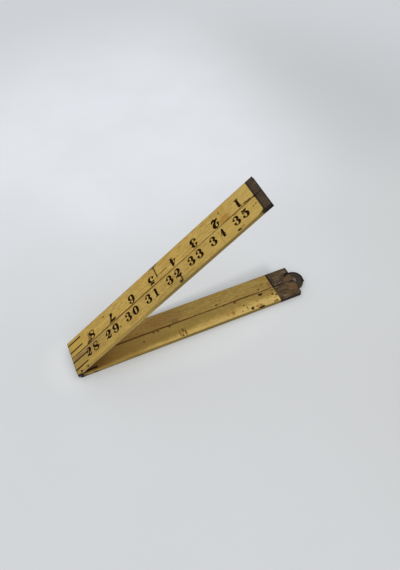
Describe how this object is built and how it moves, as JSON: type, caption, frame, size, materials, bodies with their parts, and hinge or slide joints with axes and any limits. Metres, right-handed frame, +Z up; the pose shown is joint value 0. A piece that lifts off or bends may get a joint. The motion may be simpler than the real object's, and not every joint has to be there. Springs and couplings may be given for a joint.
{
  "type": "folding ruler",
  "caption": "Folding boxwood rule with brass joints and tips: the inner legs lie side by side and the outer legs fold back over them on knuckled hinges.",
  "frame": {"origin": "foot of the main pivot on the table, at the middle of the rule's width", "axes": "+X along the legs towards the main joint, +Y across them away from the leg marked 18 to 27, +Z up"},
  "size_m": [0.2418, 0.035, 0.1447],
  "materials": {
    "boxwood": "aged yellow boxwood, worn varnish",
    "joint_brass": "brass gone brown with age, filed and worn",
    "fold_brass": "dark tarnished brass plates and knuckles",
    "tip_brass": "dark brown tarnished brass",
    "steel": "dull steel wire"
  },
  "bodies": {
    "near_inner": {"inner_leg_18_27": "boxwood", "joint_fork": "joint_brass", "joint_fork_pins": "joint_brass", "joint_washers": "steel", "joint_rivet": "joint_brass", "fold_knuckles_18_27": "fold_brass", "fold_pin_near": "steel", "cross_pins_18_27": "fold_brass", "closing_pin": "steel"},
    "far_inner": {"inner_leg_9_18": "boxwood", "joint_tongue": "joint_brass", "joint_tongue_pins": "joint_brass", "fold_knuckles_9_18": "fold_brass", "fold_pin_far": "steel", "cross_pins_9_18": "fold_brass"},
    "near_outer": {"outer_leg_27_36": "boxwood", "fold_leaf_27_36": "fold_brass", "cross_pins_27_36": "fold_brass", "tip_36": "tip_brass", "tip_pin_36": "tip_brass"},
    "far_outer": {"outer_leg_0_9": "boxwood", "fold_leaf_0_9": "fold_brass", "cross_pins_0_9": "fold_brass", "tip_0": "tip_brass", "tip_pin_0": "tip_brass"}
  },
  "joints": [
    {"name": "main_joint", "type": "hinge", "parent": "near_inner", "child": "far_inner", "pos_m": [0, 0, 0], "axis": [0, 0, -1], "range_deg": [0, 180]},
    {"name": "fold_near", "type": "hinge", "parent": "near_inner", "child": "near_outer", "pos_m": [-0.2286, -0.0088, 0.0045], "axis": [0, -1, 0], "range_deg": [-36.7, 143.3]},
    {"name": "fold_far", "type": "hinge", "parent": "far_inner", "child": "far_outer", "pos_m": [-0.2286, 0.0088, 0.0045], "axis": [0, -1, 0], "range_deg": [-36.7, 143.3]}
  ]
}
